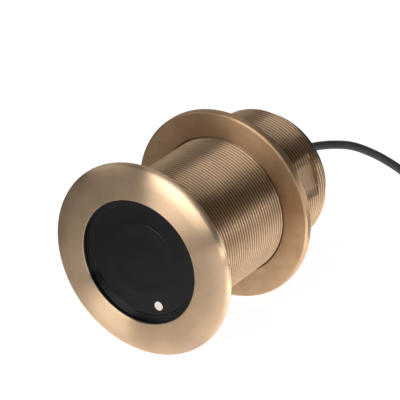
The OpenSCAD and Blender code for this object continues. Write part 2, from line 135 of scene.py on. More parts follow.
class CableSettings(bpy.types.PropertyGroup):
    """Sizes and colour of the cable and its coil."""

    diameter: bpy.props.FloatProperty(
        name="Cable diameter", description="Diameter of the jacket",
        default=0.0048, min=0.003, max=0.008, unit="LENGTH")
    turn_pitch: bpy.props.FloatProperty(
        name="Turn pitch", description="Distance between neighbouring turns of the coil",
        default=0.005, min=0.0048, max=0.0054, unit="LENGTH")
    coil_radius: bpy.props.FloatProperty(
        name="Coil radius", description="Radius at the middle of the coil's turns",
        default=0.042, min=0.036, max=0.046, unit="LENGTH")
    rows: bpy.props.IntProperty(
        name="Rows", description="Turns of the coil beside each other", default=6, min=2, max=8)
    layers: bpy.props.IntProperty(
        name="Layers", description="Turns of the coil on top of each other", default=6, min=2, max=8)
    jacket_black: bpy.props.FloatVectorProperty(
        name="Jacket black", description="Colour of the cable's jacket", subtype="COLOR",
        size=4, default=(0.054, 0.053, 0.054, 1.0), min=0.0, max=1.0)


class StageSettings(bpy.types.PropertyGroup):
    """Camera and light."""

    azimuth: bpy.props.FloatProperty(
        name="Azimuth", description="Angle of the camera to the side of the sounding face",
        default=math.radians(33.44), subtype="ANGLE")
    elevation: bpy.props.FloatProperty(
        name="Elevation", description="Angle of the camera above the horizon",
        default=math.radians(26.78), subtype="ANGLE")
    distance: bpy.props.FloatProperty(
        name="Distance", description="Depth of the flange's rim in front of the camera",
        default=1.3743, min=0.5, max=5.0, unit="LENGTH")
    lens: bpy.props.FloatProperty(
        name="Lens", description="Focal length in millimetres", default=243.0, min=20.0, max=400.0)
    rim_pixel: bpy.props.FloatVectorProperty(
        name="Rim pixel", size=2, default=(142.97, 259.52),
        description="Place of the flange rim's middle in the image, from its upper left corner")
    world_light: bpy.props.FloatProperty(
        name="World light", description="Strength of the even light all round",
        default=0.10, min=0.0, max=2.0)


# Meshes from arrays

def grid_faces(rings, columns, closed):
    """Quads between neighbouring rings of points, each ring closed on itself.

    With closed true, the last ring joins the first one again.
    """
    count = rings if closed else rings - 1
    ring = np.arange(count)[:, None]
    column = np.arange(columns)[None, :]
    here = ring * columns
    there = ((ring + 1) % rings) * columns
    beside = (column + 1) % columns
    corners = np.broadcast_arrays(here + column, here + beside, there + beside, there + column)
    return np.stack(corners, axis=-1).reshape(-1, 4)


def enclosed_volume(points, quads):
    """Volume inside a surface of quads, each split into two triangles.

    It is the sum of the signed tetrahedra between the triangles and the origin, each of them a sixth of its
    corners' triple product.
    """
    a, b, c, d = (points[quads[:, k]] for k in range(4))
    first = np.einsum("ij,ij->i", a, np.cross(b, c))
    second = np.einsum("ij,ij->i", a, np.cross(c, d))
    return (first.sum() + second.sum()) / 6


def mesh_piece(name, points, faces, material):
    """An object at the origin from points and faces, smooth up to an angle between its faces."""
    mesh = bpy.data.meshes.new(name)
    mesh.from_pydata(points.tolist(), [], [list(face) for face in faces])
    mesh.validate()
    mesh.shade_smooth()
    mesh.set_sharp_from_angle(angle=SMOOTH_ANGLE)
    mesh.materials.append(material)
    piece = bpy.data.objects.new(name, mesh)
    bpy.context.scene.collection.objects.link(piece)
    return piece


def mark_points(piece, name, values):
    """Gives every point of a piece a number under a name that its material reads."""
    attribute = piece.data.attributes.new(name, "FLOAT", "POINT")
    attribute.data.foreach_set("value", np.asarray(values, dtype=np.float32))


def round_corners(corners, radii, steps):
    """Outline whose corners are arcs that run tangent into the straight stretches.

    Each arc has the given radius and number of points. A radius of 0 leaves the corner sharp.
    """
    corners = np.asarray(corners, dtype=float)
    outline = []
    for k, corner in enumerate(corners):
        radius = radii[k]
        if radius == 0:
            outline.append(corner[None])
            continue
        back = corners[k - 1] - corner
        ahead = corners[(k + 1) % len(corners)] - corner
        back /= np.linalg.norm(back)
        ahead /= np.linalg.norm(ahead)
        half = math.acos(np.clip(back @ ahead, -1, 1)) / 2
        middle = (back + ahead) / np.linalg.norm(back + ahead)
        centre = corner + middle * radius / math.sin(half)
        start = corner + back * radius / math.tan(half) - centre
        end = corner + ahead * radius / math.tan(half) - centre
        turn = math.atan2(start[0] * end[1] - start[1] * end[0], start @ end)
        angles = np.linspace(0, turn, steps)
        cos, sin = np.cos(angles), np.sin(angles)
        bend = np.stack([start[0] * cos - start[1] * sin, start[0] * sin + start[1] * cos], axis=1)
        outline.append(centre + bend)
    return np.concatenate(outline)


def round_stem(radius, along, angles):
    """Points at a radius r and an angle a round the stem's axis.

    x is r sin a, y is the place along the stem and z is r cos a. The angle starts at the top and turns with
    the thread, from +Z towards +X.
    """
    radius, along, angles = np.broadcast_arrays(radius, along, angles)
    return np.stack([radius * np.sin(angles), along, radius * np.cos(angles)], axis=-1)


def turned_disc(name, profile, columns, material, centre=(0.0, 0.0)):
    """Closed solid of revolution: a half section from the axis back to the axis, carried once round it.

    The section's first and last points lie on the axis and become single points. The axis runs along the
    stem through a centre (x, z).
    """
    angles = np.arange(columns) * 2 * math.pi / columns
    rings = profile[1:-1]
    shell = round_stem(rings[:, :1], rings[:, 1:], angles[None, :]).reshape(-1, 3)
    poles = np.array([[0, profile[0, 1], 0], [0, profile[-1, 1], 0]])
    points = np.concatenate([shell, poles])
    quads = grid_faces(len(rings), columns, closed=False)
    column = np.arange(columns)
    beside = (column + 1) % columns
    last = (len(rings) - 1) * columns
    near = np.stack([np.full(columns, len(shell)), beside, column], axis=1)
    far = np.stack([np.full(columns, len(shell) + 1), last + column, last + beside], axis=1)
    if enclosed_volume(points, quads) < 0:
        quads, near, far = quads[:, ::-1], near[:, ::-1], far[:, ::-1]
    points = points + np.array([centre[0], 0, centre[1]])
    return mesh_piece(name, points, [*quads.tolist(), *near.tolist(), *far.tolist()], material)


# Materials

# Values of the noise between which clouds, lathe lines, wear and grain run from their least to their most
CLOUD_NOISE = (0.35, 0.68)
LINE_NOISE = (0.3, 0.7)
WEAR_NOISE = (0.35, 0.7)
GRAIN_NOISE = (0.3, 0.7)
# Height of the relief that the lathe leaves
LINE_DEPTH = 0.000003
# Part of a full turn between the lathe's marks and the direction in which they spread a highlight
ACROSS_MARKS = 0.25
# Depths in the thread, as shares of the whole depth, between which the roots' painted shade and roughness
# come in
ROOT_DEPTHS = (0.05, 0.7)
# Largest share of the painted shade in the thread's roots, and the roughness at that share
ROOT_SHADE_SHARE = 0.78
ROOT_ROUGHNESS = 0.78
# Dark colour painted into the thread's roots as shade, so that the thread's lines show
ROOT_SHADE_COLOUR = (0.20, 0.125, 0.065, 1.0)
MILLED_COLOUR = (0.27, 0.185, 0.115, 1.0)
# A worn moulding has its own colour times a factor, and a little grey
WEAR_GAIN = 1.35
WEAR_GREY = 0.001


def new_group(name, inputs, outputs):
    """Empty shader node group with named inputs (kind, default) and outputs (kind)."""
    group = bpy.data.node_groups.new(name, "ShaderNodeTree")
    for label, kind, default in inputs:
        socket = group.interface.new_socket(label, in_out="INPUT", socket_type=kind)
        socket.default_value = default
    for label, kind in outputs:
        group.interface.new_socket(label, in_out="OUTPUT", socket_type=kind)
    start = group.nodes.new("NodeGroupInput")
    end = group.nodes.new("NodeGroupOutput")
    return group, start, end


def add_math(tree, operation, first, second=None):
    """Math node whose inputs are sockets or numbers; returns its output."""
    node = tree.nodes.new("ShaderNodeMath")
    node.operation = operation
    for k, value in enumerate((first, second)):
        if value is None:
            continue
        if isinstance(value, (int, float)):
            node.inputs[k].default_value = value
        else:
            tree.links.new(value, node.inputs[k])
    return node.outputs[0]


def add_range(tree, value, low, high, to_low, to_high):
    """Maps a value from one range to another, held at its ends, which are sockets or numbers."""
    node = tree.nodes.new("ShaderNodeMapRange")
    tree.links.new(value, node.inputs["Value"])
    ends = {"From Min": low, "From Max": high, "To Min": to_low, "To Max": to_high}
    for label, number in ends.items():
        if isinstance(number, (int, float)):
            node.inputs[label].default_value = number
        else:
            tree.links.new(number, node.inputs[label])
    return node.outputs["Result"]


def add_noise(tree, vector, scale, detail, roughness=0.5):
    """Noise texture on given coordinates, with its scale from a socket; returns its value."""
    node = tree.nodes.new("ShaderNodeTexNoise")
    node.inputs["Detail"].default_value = detail
    node.inputs["Roughness"].default_value = roughness
    tree.links.new(scale, node.inputs["Scale"])
    tree.links.new(vector, node.inputs["Vector"])
    return node.outputs["Fac"]


def add_mix(tree, share, first, second):
    """Mixes two colours, which are sockets or values, by a share."""
    node = tree.nodes.new("ShaderNodeMix")
    node.data_type = "RGBA"
    tree.links.new(share, node.inputs["Factor"])
    for label, value in (("A", first), ("B", second)):
        socket = next(s for s in node.inputs if s.name == label and s.type == "RGBA")
        if isinstance(value, bpy.types.NodeSocket):
            tree.links.new(value, socket)
        else:
            socket.default_value = value
    return next(s for s in node.outputs if s.type == "RGBA")


def object_coordinates(tree):
    """The piece's own coordinates."""
    return tree.nodes.new("ShaderNodeTexCoord").outputs["Object"]


def make_turning_group(name):
    """Marks of the lathe: fine lines that run round the stem's axis, and soft clouds in the metal.

    Lines is noise over the distance from the axis and the place along it, so it is the same all the way
    round. Clouds is slow noise in space.
    """
    group, start, end = new_group(
        name,
        [("Line Scale", "NodeSocketFloat", 3000.0), ("Cloud Scale", "NodeSocketFloat", 45.0)],
        [("Lines", "NodeSocketFloat"), ("Clouds", "NodeSocketFloat")])
    place = object_coordinates(group)
    split = group.nodes.new("ShaderNodeSeparateXYZ")
    group.links.new(place, split.inputs[0])
    across = add_math(group, "MULTIPLY", split.outputs["X"], split.outputs["X"])
    up = add_math(group, "MULTIPLY", split.outputs["Z"], split.outputs["Z"])
    radius = add_math(group, "SQRT", add_math(group, "ADD", across, up))
    join = group.nodes.new("ShaderNodeCombineXYZ")
    group.links.new(radius, join.inputs["X"])
    group.links.new(split.outputs["Y"], join.inputs["Y"])
    lines = add_noise(group, join.outputs[0], start.outputs["Line Scale"], detail=3.0, roughness=0.7)
    clouds = add_noise(group, place, start.outputs["Cloud Scale"], detail=4.0, roughness=0.55)
    group.links.new(lines, end.inputs["Lines"])
    group.links.new(clouds, end.inputs["Clouds"])
    return group


def make_grain_group(name):
    """Fine grain of a moulding: small even noise as a height, and slow noise as a mask for wear."""
    group, start, end = new_group(
        name,
        [("Grain Scale", "NodeSocketFloat", 1500.0), ("Wear Scale", "NodeSocketFloat", 60.0)],
        [("Grain", "NodeSocketFloat"), ("Wear", "NodeSocketFloat")])
    place = object_coordinates(group)
    grain = add_noise(group, place, start.outputs["Grain Scale"], detail=2.0)
    wear = add_noise(group, place, start.outputs["Wear Scale"], detail=3.0)
    group.links.new(grain, end.inputs["Grain"])
    group.links.new(wear, end.inputs["Wear"])
    return group


def shared_group(name, maker):
    """The node group of that name, made on first use."""
    return bpy.data.node_groups.get(name) or maker(name)


def lathe_marks():
    """Shared node group for turned metal."""
    return shared_group("lathe marks", make_turning_group)


def moulded_grain():
    """Shared node group for mouldings."""
    return shared_group("moulded grain", make_grain_group)


def new_material(name):
    """Material with a Principled shader; returns the material, its tree and the shader."""
    material = bpy.data.materials.new(name)
    material.use_nodes = True
    tree = material.node_tree
    return material, tree, tree.nodes["Principled BSDF"]


def add_bump(tree, shader, height, distance):
    """Feeds a height, times a distance, into the shader's normal through a Bump node."""
    bump = tree.nodes.new("ShaderNodeBump")
    bump.inputs["Strength"].default_value = 1.0
    bump.inputs["Distance"].default_value = distance
    tree.links.new(height, bump.inputs["Height"])
    tree.links.new(bump.outputs["Normal"], shader.inputs["Normal"])


def point_value(tree, name):
    """The number that a piece's points carry under a name, which is 0 on a piece without it."""
    node = tree.nodes.new("ShaderNodeAttribute")
    node.attribute_name = name
    return node.outputs["Fac"]


def place_group(tree, group, **values):
    """Places a node group in a material and sets its inputs; returns the node."""
    node = tree.nodes.new("ShaderNodeGroup")
    node.node_tree = group
    for label, value in values.items():
        node.inputs[label.replace("_", " ")].default_value = value
    return node


def turn_highlights(tree, shader, amount):
    """Spreads a turned surface's highlights across the lathe's marks, which run round the stem's axis.

    The direction round the axis at a point (x, y, z) is (z, 0, -x).
    """
    split = tree.nodes.new("ShaderNodeSeparateXYZ")
    tree.links.new(object_coordinates(tree), split.inputs[0])
    join = tree.nodes.new("ShaderNodeCombineXYZ")
    tree.links.new(split.outputs["Z"], join.inputs["X"])
    tree.links.new(add_math(tree, "MULTIPLY", split.outputs["X"], -1.0), join.inputs["Z"])
    unit = tree.nodes.new("ShaderNodeVectorMath")
    unit.operation = "NORMALIZE"
    tree.links.new(join.outputs[0], unit.inputs[0])
    tree.links.new(unit.outputs["Vector"], shader.inputs["Tangent"])
    shader.inputs["Anisotropic"].default_value = amount
    shader.inputs["Anisotropic Rotation"].default_value = ACROSS_MARKS


def bronze_material(name, light, dark, rough=(0.34, 0.41), turned=0.95):
    """Satin turned bronze: cloudy colour, with roughness and fine relief from the lathe.

    The thread's roots get painted shade and are rougher, and milled places have a colour of their own.
    """
    material, tree, shader = new_material(name)
    marks = place_group(tree, lathe_marks())
    cloud_share = add_range(tree, marks.outputs["Clouds"], *CLOUD_NOISE, 0.0, 1.0)
    cloudy = add_mix(tree, cloud_share, tuple(light), tuple(dark))
    # The deeper a point lies in the thread, the more painted shade darkens it and the rougher it gets
    root_shade_share = add_range(tree, point_value(tree, "groove"), *ROOT_DEPTHS, 0.0, ROOT_SHADE_SHARE)
    turned_colour = add_mix(tree, root_shade_share, cloudy, ROOT_SHADE_COLOUR)
    colour = add_mix(tree, point_value(tree, "milled"), turned_colour, MILLED_COLOUR)
    tree.links.new(colour, shader.inputs["Base Color"])
    shader.inputs["Metallic"].default_value = 1.0
    turned_blur = add_range(tree, marks.outputs["Lines"], *LINE_NOISE, *rough)
    blur = add_range(tree, root_shade_share, 0.0, ROOT_SHADE_SHARE, turned_blur, ROOT_ROUGHNESS)
    tree.links.new(blur, shader.inputs["Roughness"])
    turn_highlights(tree, shader, turned)
    add_bump(tree, shader, marks.outputs["Lines"], LINE_DEPTH)
    return material


def moulding_material(name, colour, rough, grain_depth=0.00001, metallic=0.0, gloss=0.5, **values):
    """Moulded or cast material: fine grain in relief and roughness, and a little wear in the colour."""
    material, tree, shader = new_material(name)
    grain = place_group(tree, moulded_grain(), **values)
    share = add_range(tree, grain.outputs["Wear"], *WEAR_NOISE, 0.0, 1.0)
    worn = tuple(min(1.0, WEAR_GAIN * channel + WEAR_GREY) for channel in colour[:3]) + (1.0,)
    tree.links.new(add_mix(tree, share, tuple(colour), worn), shader.inputs["Base Color"])
    blur = add_range(tree, grain.outputs["Grain"], *GRAIN_NOISE, *rough)
    tree.links.new(blur, shader.inputs["Roughness"])
    shader.inputs["Metallic"].default_value = metallic
    shader.inputs["Specular IOR Level"].default_value = gloss
    add_bump(tree, shader, grain.outputs["Grain"], grain_depth)
    return material


def settle(piece, body, slot, *nodes):
    """Lets a piece ride on a body and hides the CAD nodes that it stands for. The slot is not used."""
    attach(piece, body)
    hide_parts(*nodes)


# Bronze housing

# Columns of points round the housing, few enough for under 200,000 triangles
COLUMNS = 192
# Directions of the wrench flats round the stem, from +X towards +Z
FLATS = (math.radians(20), math.radians(200))
FLAT_DISTANCE = 0.0363
FLAT_FRONT = 0.0866
FLAT_REAR = 0.1078
# Cosine of an angle to a flat that is far past the flat's edge
PAST_FLAT = 0.2
LEAD_IN = 0.0016
# Last stretch of the lead-in, below the thread's roots, where the thread has run out, and the share of it
# that the thread's last rows fill
PLAIN_END = 0.00028
PLAIN_FILLED = 0.9
# Small bevel between the lead-in and the rear face
REAR_BEVEL = 0.00006
BORE_RADIUS = 0.0325
BORE_EDGE = 0.0003
FACE_RADIUS = 0.0343
FACE_SEAT = -0.002
SEAT_EDGE = 0.0002
LIP_EDGE = 0.0005
INNER_STEPS = 7
CROWN_WIDTH = 0.0097
CROWN_STEPS = 26
RIM_ROUND = 0.003
RIM_STEPS = 24
# Ring of the hull seat beside the stem, and the bevel between the two
SEAT_RING = 0.004
STEM_BEVEL = 0.0004
# The thread's first row starts at the bottom of the stem, and the thread grows to its depth over some turns
THREAD_FIRST = 0.0005
RUN_IN_TURNS = 2

# One turn of the thread: place along the pitch, and depth as a share of the whole depth
THREAD_FORM = np.array([(0.00, 0.0), (0.11, 0.0), (0.14, 0.07), (0.43, 0.94),
                        (0.48, 1.0), (0.63, 1.0), (0.68, 0.94), (0.97, 0.07)])


def arc(centre, radius, start, end, count):
    """Points (radius, along) on an arc, at angles from the outward direction towards the cable."""
    angles = np.linspace(start, end, count)
    return np.stack([centre[0] + radius * np.cos(angles), centre[1] + radius * np.sin(angles)], axis=1)


def housing_profile(settings):
    """Half section of the housing, from the lead-in's edge to the hull seat at the thread's front end.

    It runs over the rear face and through the bore to the lip, then over the crown and round the rim. The
    crown is the arc that is level at the lip's land and runs tangent into the rim's rounding.
    """
    end = settings.housing_length
    end_radius = settings.stem_radius - LEAD_IN
    rim_centre = (settings.flange_radius - RIM_ROUND, -RIM_ROUND)
    land = settings.flange_radius - CROWN_WIDTH
    run = rim_centre[0] - land
    drop = settings.lip_height - RIM_ROUND
    crown_radius = (run ** 2 + drop ** 2 - RIM_ROUND ** 2) / (2 * (drop - RIM_ROUND))
    crown_centre = (land, crown_radius - settings.lip_height)
    lean = math.atan2(run, crown_centre[1] + RIM_ROUND)
    corners = [(end_radius - REAR_BEVEL, end), (BORE_RADIUS, end), (BORE_RADIUS, FACE_SEAT),
               (FACE_RADIUS, FACE_SEAT), (FACE_RADIUS, -settings.lip_height), (land, -settings.lip_height)]
    inner = round_corners(corners, [0, BORE_EDGE, SEAT_EDGE, 0, LIP_EDGE, 0], INNER_STEPS)
    crown = arc(crown_centre, crown_radius, -math.pi / 2, lean - math.pi / 2, CROWN_STEPS)
    rim = arc(rim_centre, RIM_ROUND, lean - math.pi / 2, math.pi / 2, RIM_STEPS)
    stem = settings.stem_radius
    seat = np.array([(stem + SEAT_RING, 0.0), (stem + STEM_BEVEL, 0.0), (stem, STEM_BEVEL)])
    return np.concatenate([inner, crown[1:], rim[1:], seat])


def thread_points(settings, first, rows, angles):
    """Rows of points that climb the stem with the thread, each point's depth in it, and which are milled.

    Row i, a share t of a turn from its start, lies at the first place plus its place in the pitch plus t
    whole pitches, so each row keeps its depth in the thread. The depth runs in from the hull seat, the wrench
    flats cut the radius down to their distance divided by the cosine of the angle to the flat, and the
    lead-in cuts it down by a millimetre for each millimetre along. Rows past the lead-in's last stretch are
    drawn together into it.
    """
    pitch = settings.thread_pitch
    step = np.arange(rows)
    form = THREAD_FORM[step % len(THREAD_FORM)]
    turn = step // len(THREAD_FORM)
    start = first + (turn + form[:, 0]) * pitch
    along = start[:, None] + pitch * (angles - angles[0])[None, :] / (2 * math.pi)
    run_in = np.clip((along - first - pitch) / (RUN_IN_TURNS * pitch), 0, 1)
    depth = form[:, 1][:, None] * run_in
    radius = settings.stem_radius - settings.thread_depth * depth
    above = math.pi / 2 - angles
    milled = np.zeros(radius.shape, dtype=bool)
    for flat in FLATS:
        limit = FLAT_DISTANCE / np.maximum(np.cos(above - flat), PAST_FLAT)[None, :]
        cut = (along > FLAT_FRONT) & (along < FLAT_REAR) & (radius > limit)
        depth = np.where(cut, 0.0, depth)
        radius = np.where(cut, limit, radius)
        milled = milled | cut
    last = settings.housing_length - PLAIN_END
    drawn = last + (along - last) * PLAIN_FILLED * PLAIN_END / (along.max() - last)
    along = np.where(along > last, drawn, along)
    lead_in = settings.stem_radius - (along - settings.housing_length + LEAD_IN)
    depth = np.where(lead_in < radius, 0.0, depth)
    radius = np.minimum(radius, lead_in)
    points = round_stem(radius, along, angles[None, :]).reshape(-1, 3)
    return points, depth.reshape(-1), milled.reshape(-1)


def threaded_faces(rings, rows, per_turn, columns):
    """Faces of the plain rings, the climbing thread rows and the two joints between them.

    Where a row ends after one turn it meets the row that lies one turn higher. A many-sided face at each
    end of the thread closes the step between that climbing seam and the plain ring.
    """
    plain = grid_faces(rings, columns, closed=False)
    base = rings * columns
    row = np.arange(rows - 1)[:, None]
    column = np.arange(columns - 1)[None, :]
    here = base + row * columns + column
    climb = np.stack([here, here + 1, here + columns + 1, here + columns], axis=-1).reshape(-1, 4)
    seam_row = np.arange(rows - 1 - per_turn)
    left = base + seam_row * columns + columns - 1
    right = base + (seam_row + per_turn) * columns
    seam = np.stack([left, right, right + columns, left + columns], axis=-1)
    side = np.arange(columns - 1)
    front_ring = (rings - 1) * columns
    last_row = base + (rows - 1) * columns
    front = np.stack([front_ring + side, front_ring + side + 1, base + side + 1, base + side], axis=-1)
    rear = np.stack([last_row + side, last_row + side + 1, side + 1, side], axis=-1)
    quads = np.concatenate([plain, climb, seam, front, rear])
    edge = columns - 1
    low_rows = base + np.arange(per_turn + 1) * columns
    front_step = [front_ring + edge, front_ring, *low_rows, base + edge]
    high_rows = base + np.arange(rows - 1, rows - 2 - per_turn, -1) * columns + edge
    rear_step = [last_row, 0, edge, *high_rows]
    return quads, [front_step, rear_step]


class TRANSDUCER_OT_housing(bpy.types.Operator):
    """Turned bronze housing with its flange, helical thread and wrench flats"""

    bl_idname = "transducer.housing"
    bl_label = "Bronze housing"

    def execute(self, context):
        settings = context.scene.transducer_bronze
        profile = housing_profile(settings)
        angles = math.pi + np.arange(COLUMNS) * 2 * math.pi / COLUMNS
        plain = round_stem(profile[:, :1], profile[:, 1:], angles[None, :]).reshape(-1, 3)
        per_turn = len(THREAD_FORM)
        turns = math.ceil((settings.housing_length - PLAIN_END - THREAD_FIRST) / settings.thread_pitch)
        rows = turns * per_turn + 1
        thread, groove, milled = thread_points(settings, THREAD_FIRST, rows, angles)
        points = np.concatenate([plain, thread])
        quads, steps = threaded_faces(len(profile), rows, per_turn, COLUMNS)
        if enclosed_volume(points, quads) < 0:
            quads = quads[:, ::-1]
            steps = [step[::-1] for step in steps]
        bronze = bronze_material("satin bronze", settings.light_bronze, settings.dark_bronze)
        piece = mesh_piece("housing_bronze", points, [*quads.tolist(), *steps], bronze)
        mark_points(piece, "groove", np.concatenate([np.zeros(len(plain)), groove]))
        mark_points(piece, "milled", np.concatenate([np.zeros(len(plain)), milled]))
        settle(piece, "root", "bronze", "bronze_housing")
        return {"FINISHED"}


# Hull nut

NUT_BORE = 0.0384
# Chamfers of the bore at its two ends
BORE_FRONT = 0.0006
BORE_REAR = 0.0008
NUT_FLANGE = 0.005
NUT_CHAMFER = 0.0009
# Rounding of the edges that the flange's chamfers leave
NUT_EDGE = 0.0012
NUT_EDGE_STEPS = 6
HUB_ACROSS = 0.085
HUB_SIDES = 6
# Half the angle that one side of the hexagon takes up
HALF_SIDE = math.pi / HUB_SIDES
HUB_CORNER = math.radians(22)
HUB_EDGE = 0.0009
HUB_TURNED = 0.0422
HUB_TURN_OFF = math.radians(30)
# Fillet between the hub and the flange, and the share of it that stands at its middle
HUB_FILLET = 0.0012
FILLET_MIDDLE = 0.3
# Columns of points along one side of the hexagon, close together round its corner
NEAR_CORNER = np.radians([-1.2, -0.6, -0.4, -0.2, 0.0, 0.2, 0.4, 0.6, 1.2])
BETWEEN_CORNERS = np.radians(np.arange(3, 58, 1.5))


def hexagon_radius(angles):
    """Distance from the axis to a hexagon with rounded corners.

    On a flat it is half the width divided by the cosine of the angle to the flat's middle. Near a corner it
    is where the ray meets the corner's arc: c cos d plus the root of e squared minus (c sin d) squared.
    """
    half = HUB_ACROSS / 2
    away = (angles + HALF_SIDE) % (2 * HALF_SIDE) - HALF_SIDE
    centre = (half - HUB_EDGE) / math.cos(HALF_SIDE)
    reach = math.atan2(HUB_EDGE * math.sin(HALF_SIDE), centre + HUB_EDGE * math.cos(HALF_SIDE))
    inside = np.maximum(HUB_EDGE ** 2 - (centre * np.sin(away)) ** 2, 0)
    corner = centre * np.cos(away) + np.sqrt(inside)
    flat = half / np.cos(HALF_SIDE - np.abs(away))
    return np.where(np.abs(away) < reach, corner, flat)


class TRANSDUCER_OT_hull_nut(bpy.types.Operator):
    """Flanged hexagon nut that clamps the hull"""

    bl_idname = "transducer.hull_nut"
    bl_label = "Hull nut"

    def execute(self, context):
        settings = context.scene.transducer_bronze
        front = NUT_LOW[1]
        rear = NUT_HIGH[1]
        flange = NUT_HIGH[0]
        back = front + NUT_FLANGE
        side = np.concatenate([NEAR_CORNER, BETWEEN_CORNERS])
        angles = (side[None, :] + np.arange(HUB_SIDES)[:, None] * 2 * HALF_SIDE).reshape(-1)
        hexagon = hexagon_radius(angles)
        turned_edge = rear - (hexagon - HUB_TURNED) * math.tan(HUB_TURN_OFF)
        body = round_corners(
            [(NUT_BORE, front + BORE_FRONT), (NUT_BORE + BORE_FRONT, front), (flange - NUT_CHAMFER, front),
             (flange, front + NUT_CHAMFER), (flange, back - NUT_CHAMFER), (flange - NUT_CHAMFER, back)],
            [0, 0, NUT_EDGE, NUT_EDGE, NUT_EDGE, NUT_EDGE], NUT_EDGE_STEPS)
        middle = FILLET_MIDDLE * HUB_FILLET
        hub = [(hexagon + HUB_FILLET, back), (hexagon + middle, back + middle), (hexagon, back + HUB_FILLET),
               (hexagon, turned_edge), (HUB_TURNED, rear), (NUT_BORE + BORE_REAR, rear),
               (NUT_BORE, rear - BORE_REAR)]
        round_axis = math.pi / 2 - HUB_CORNER - angles
        rings = [round_stem(radius, along, round_axis) for radius, along in [*body, *hub]]
        points = np.concatenate(rings)
        faces = grid_faces(len(rings), len(angles), closed=True)
        if enclosed_volume(points, faces) < 0:
            faces = faces[:, ::-1]
        # The nut's darker colours hold painted shade from the flange and stem as well as its browner metal
        bronze = bronze_material("nut bronze", settings.nut_bronze, settings.nut_dark,
                                 rough=(0.42, 0.51), turned=0.72)
        piece = mesh_piece("hull_nut_bronze", points, faces.tolist(), bronze)
        settle(piece, "nut", "bronze", "hull_nut")
        return {"FINISHED"}


# Sounding face and button

FACE_BACK = 0.0015
FACE_EDGE = -0.0072
FACE_WALL = 0.0336
FACE_COLUMNS = 160
# Clearance between the face and its seat in the housing
FACE_GAP = 0.0001
LEDGES = ((0.0323, -0.0049), (0.0310, -0.0041))
# Rounding of the ledges, and of the face's outer edge beside the housing's lip
LEDGE_EDGE = 0.0003
OUTER_EDGE = 0.0001
FACE_FRONT = -0.0033
DISH_RADIUS = 0.020
DISH_DEPTH = 0.0003
# Share of the dish's radius over which it is level, and the rounding where it starts to rise
DISH_LEVEL = 0.7
DISH_BEND = 0.002
# Height of the fine lip that runs round the dish, its outer slope and its rounding
DISH_LIP = 0.00008
DISH_LIP_SLOPE = 3 * DISH_LIP
DISH_LIP_EDGE = 0.0002
# The button's crown: its height, and the shares of the radius and of the height at which it bends
BUTTON_CROWN = 0.00012
BUTTON_BEND = (0.55, 0.3)
BUTTON_EDGE = 0.00025
BUTTON_COLUMNS = 48
FACE_STEPS = 6


def build_face(settings):
    """Sounding face: a half section from the dish over the ledges to the back, turned round the stem."""
    (first_radius, first_place), (second_radius, second_place) = LEDGES
    dish = FACE_FRONT + DISH_DEPTH
    seat = FACE_SEAT - FACE_GAP
    corners = [(0.0, dish), (DISH_RADIUS * DISH_LEVEL, dish), (DISH_RADIUS, FACE_FRONT - DISH_LIP),
               (DISH_RADIUS + DISH_LIP_SLOPE, FACE_FRONT), (second_radius, FACE_FRONT),
               (second_radius, second_place), (first_radius, second_place), (first_radius, first_place),
               (FACE_WALL, first_place), (FACE_WALL, FACE_EDGE), (FACE_RADIUS, FACE_EDGE),
               (FACE_RADIUS, seat), (BORE_RADIUS, seat), (BORE_RADIUS, FACE_BACK), (0.0, FACE_BACK)]
    ledges = [LEDGE_EDGE] * 6
    radii = [0, DISH_BEND, DISH_LIP_EDGE, DISH_LIP_EDGE, *ledges, OUTER_EDGE, 0, 0, 0, 0]
    profile = round_corners(corners, radii, FACE_STEPS)
    black = moulding_material("face moulding", settings.face_black, rough=(0.18, 0.26),
                              grain_depth=0.000008, gloss=0.34, Grain_Scale=2200.0)
    return turned_disc("sounding_face", profile, FACE_COLUMNS, black)


def build_button(settings):
    """Temperature button: a low crown, turned round the middle of its CAD solid."""
    low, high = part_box("temperature_button")
    centre = ((low[0] + high[0]) / 2, (low[2] + high[2]) / 2)
    radius = (high[0] - low[0]) / 2
    bend = (radius * BUTTON_BEND[0], low[1] + BUTTON_CROWN * BUTTON_BEND[1])
    corners = [(0.0, low[1]), bend, (radius, low[1] + BUTTON_CROWN), (radius, high[1]), (0.0, high[1])]
    head = round_corners(corners, [0, 0, BUTTON_EDGE, 0, 0], FACE_STEPS)
    copper = moulding_material("button copper", settings.button_copper, rough=(0.35, 0.5), metallic=0.2)
    return turned_disc("temperature_button_cap", head, BUTTON_COLUMNS, copper, centre)


class TRANSDUCER_OT_face(bpy.types.Operator):
    """Black sounding face with its two ledges, and the temperature button in it"""

    bl_idname = "transducer.face"
    bl_label = "Sounding face"

    def execute(self, context):
        settings = context.scene.transducer_face
        settle(build_face(settings), "root", "face_moulding", "acoustic_window")
        settle(build_button(settings), "root", "button", "temperature_button")
        return {"FINISHED"}


# Cable

# Place of the strain relief's tip along the stem
BOOT_END = 0.146
# The coil's lowest turn lies on its ties
TIE_THICKNESS = 0.0012
# Where the cable runs into the coil's outer turn, as x and y
COIL_JOIN = (0.138, BOOT_END + 0.0545)
# Middle of the plug's rear end, and how deep the cable goes into it
PLUG_REAR = (0.148, 0.104, -0.0133)
PLUG_HOLE = 0.008

# The cable's way to the coil: sideways and behind the strain relief's tip in millimetres, and percent of
# the drop
CABLE_WAY = [(0, -22, 0), (0, -10, 0), (0, 1, 0), (2, 9, 0), (6, 17, 1), (11, 24, 3), (17, 31, 7),
             (25, 37, 15), (34, 42, 26), (44, 46, 40), (55, 49, 56), (66, 51, 70), (77, 52.5, 82),
             (88, 53.5, 91), (99, 54, 97), (110, 54.5, 99), (122, 54.5, 100)]
